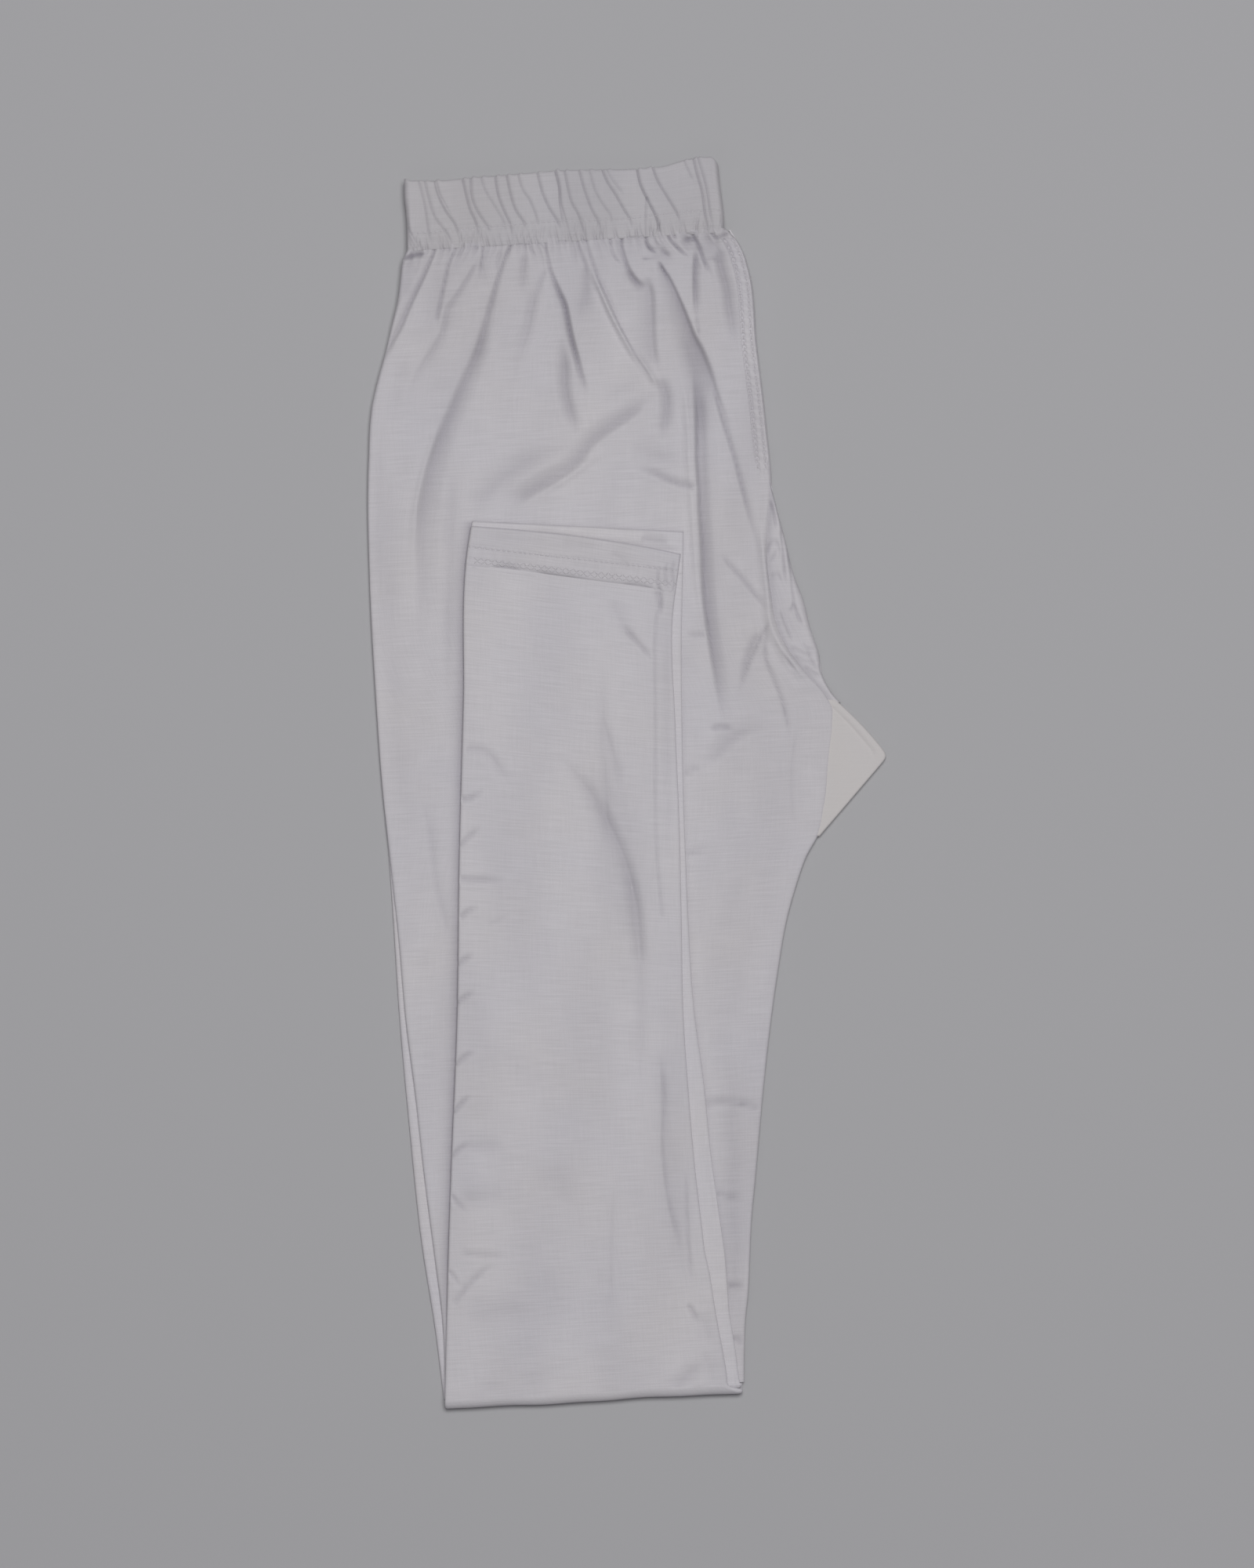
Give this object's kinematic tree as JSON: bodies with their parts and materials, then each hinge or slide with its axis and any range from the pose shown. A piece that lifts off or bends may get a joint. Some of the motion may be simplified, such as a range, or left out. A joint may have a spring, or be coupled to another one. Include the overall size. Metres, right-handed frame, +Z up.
{
  "type": "folded trousers",
  "caption": "Folded white cotton trousers with a gathered elastic waist, gusset and stitched hems, lying flat as a low pack of cloth layers.",
  "frame": {"origin": "middle of the outline, on the surface that the trousers lie on", "axes": "X across the folded legs with the side folds at -X and the gusset at +X, Y from the knee fold to the waist, Z up"},
  "size_m": [0.2476, 0.5976, 0.0148],
  "materials": {
    "cotton": "plain woven white cotton with a fine slub across",
    "hem_cotton": "the same cotton, turned under and stitched",
    "seam_cotton": "the same cotton, felled and stitched in two rows",
    "gusset_cotton": "the same cotton, a little warmer",
    "casing_cotton": "the same cotton, gathered over elastic"
  },
  "bodies": {
    "root": {"lower_leg_panel": "cotton", "upper_leg_panel": "cotton", "inner_thigh_layers": "cotton", "inner_calf_layers": "cotton", "lower_leg_hem": "hem_cotton", "upper_leg_hem": "hem_cotton", "centre_seam": "seam_cotton", "gusset_lower": "gusset_cotton", "gusset_upper": "gusset_cotton", "waistband_lower": "casing_cotton", "waistband_inner": "casing_cotton", "waistband_upper": "casing_cotton"}
  },
  "joints": []
}
